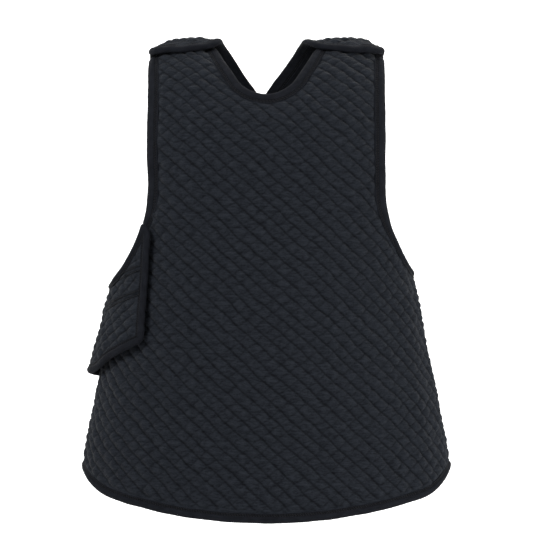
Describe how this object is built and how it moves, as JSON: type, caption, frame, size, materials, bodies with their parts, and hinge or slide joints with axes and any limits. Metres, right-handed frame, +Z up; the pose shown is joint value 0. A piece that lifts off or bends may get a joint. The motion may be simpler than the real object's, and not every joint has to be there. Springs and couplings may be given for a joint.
{
  "type": "chest protector",
  "caption": "Quilted cloth chest protector worn as a bib, with bound edges, a round neck and hem, shoulder tabs and a side flap that close with hook-and-loop tape.",
  "frame": {"origin": "on the wearer's shoulder line under the shoulder straps, midway between the arms", "axes": "+Z up, -Y towards the front of the wearer, +X to the right of someone facing that front"},
  "size_m": [0.439, 0.271, 0.5614],
  "materials": {
    "quilted_cloth": "matte knit, diamond quilted",
    "wadding": "needled felt",
    "lining_cloth": "smooth woven",
    "binding_tape": "bias-cut twill tape",
    "hook_tape": "hook tape",
    "loop_tape": "loop tape"
  },
  "bodies": {
    "vest": {"front_outer_shell": "quilted_cloth", "front_wadding": "wadding", "front_lining": "lining_cloth", "back_outer_shell": "quilted_cloth", "back_wadding": "wadding", "back_lining": "lining_cloth", "front_hem_binding": "binding_tape", "front_wrap_edge_binding": "binding_tape", "front_left_armhole_binding": "binding_tape", "front_right_armhole_binding": "binding_tape", "neckline_binding": "binding_tape", "back_hem_binding": "binding_tape", "back_left_armhole_binding": "binding_tape", "back_right_armhole_binding": "binding_tape", "back_neck_binding": "binding_tape", "side_seam_tape": "binding_tape", "front_flap_loop_tape": "loop_tape", "front_left_tab_loop_tape": "loop_tape", "front_right_tab_loop_tape": "loop_tape"},
    "side_flap": {"flap_outer_shell": "quilted_cloth", "flap_wadding": "wadding", "flap_lining": "lining_cloth", "flap_binding": "binding_tape", "flap_hook_tape": "hook_tape"},
    "left_shoulder_tab": {"left_tab_outer_shell": "quilted_cloth", "left_tab_wadding": "wadding", "left_tab_lining": "lining_cloth", "left_tab_binding": "binding_tape", "left_tab_hook_tape": "hook_tape"},
    "right_shoulder_tab": {"right_tab_outer_shell": "quilted_cloth", "right_tab_wadding": "wadding", "right_tab_lining": "lining_cloth", "right_tab_binding": "binding_tape", "right_tab_hook_tape": "hook_tape"}
  },
  "joints": [
    {"name": "side_flap_fold", "type": "hinge", "parent": "vest", "child": "side_flap", "pos_m": [-0.1808, 0.03, -0.2577], "axis": [-0.193, 0, -0.9812], "range_deg": [0, 120]},
    {"name": "left_tab_fold", "type": "hinge", "parent": "vest", "child": "left_shoulder_tab", "pos_m": [-0.09, 0.01, 0.0199], "axis": [-1, 0, 0], "range_deg": [0, 150]},
    {"name": "right_tab_fold", "type": "hinge", "parent": "vest", "child": "right_shoulder_tab", "pos_m": [0.09, 0.01, 0.0199], "axis": [-1, 0, 0], "range_deg": [0, 150]}
  ]
}
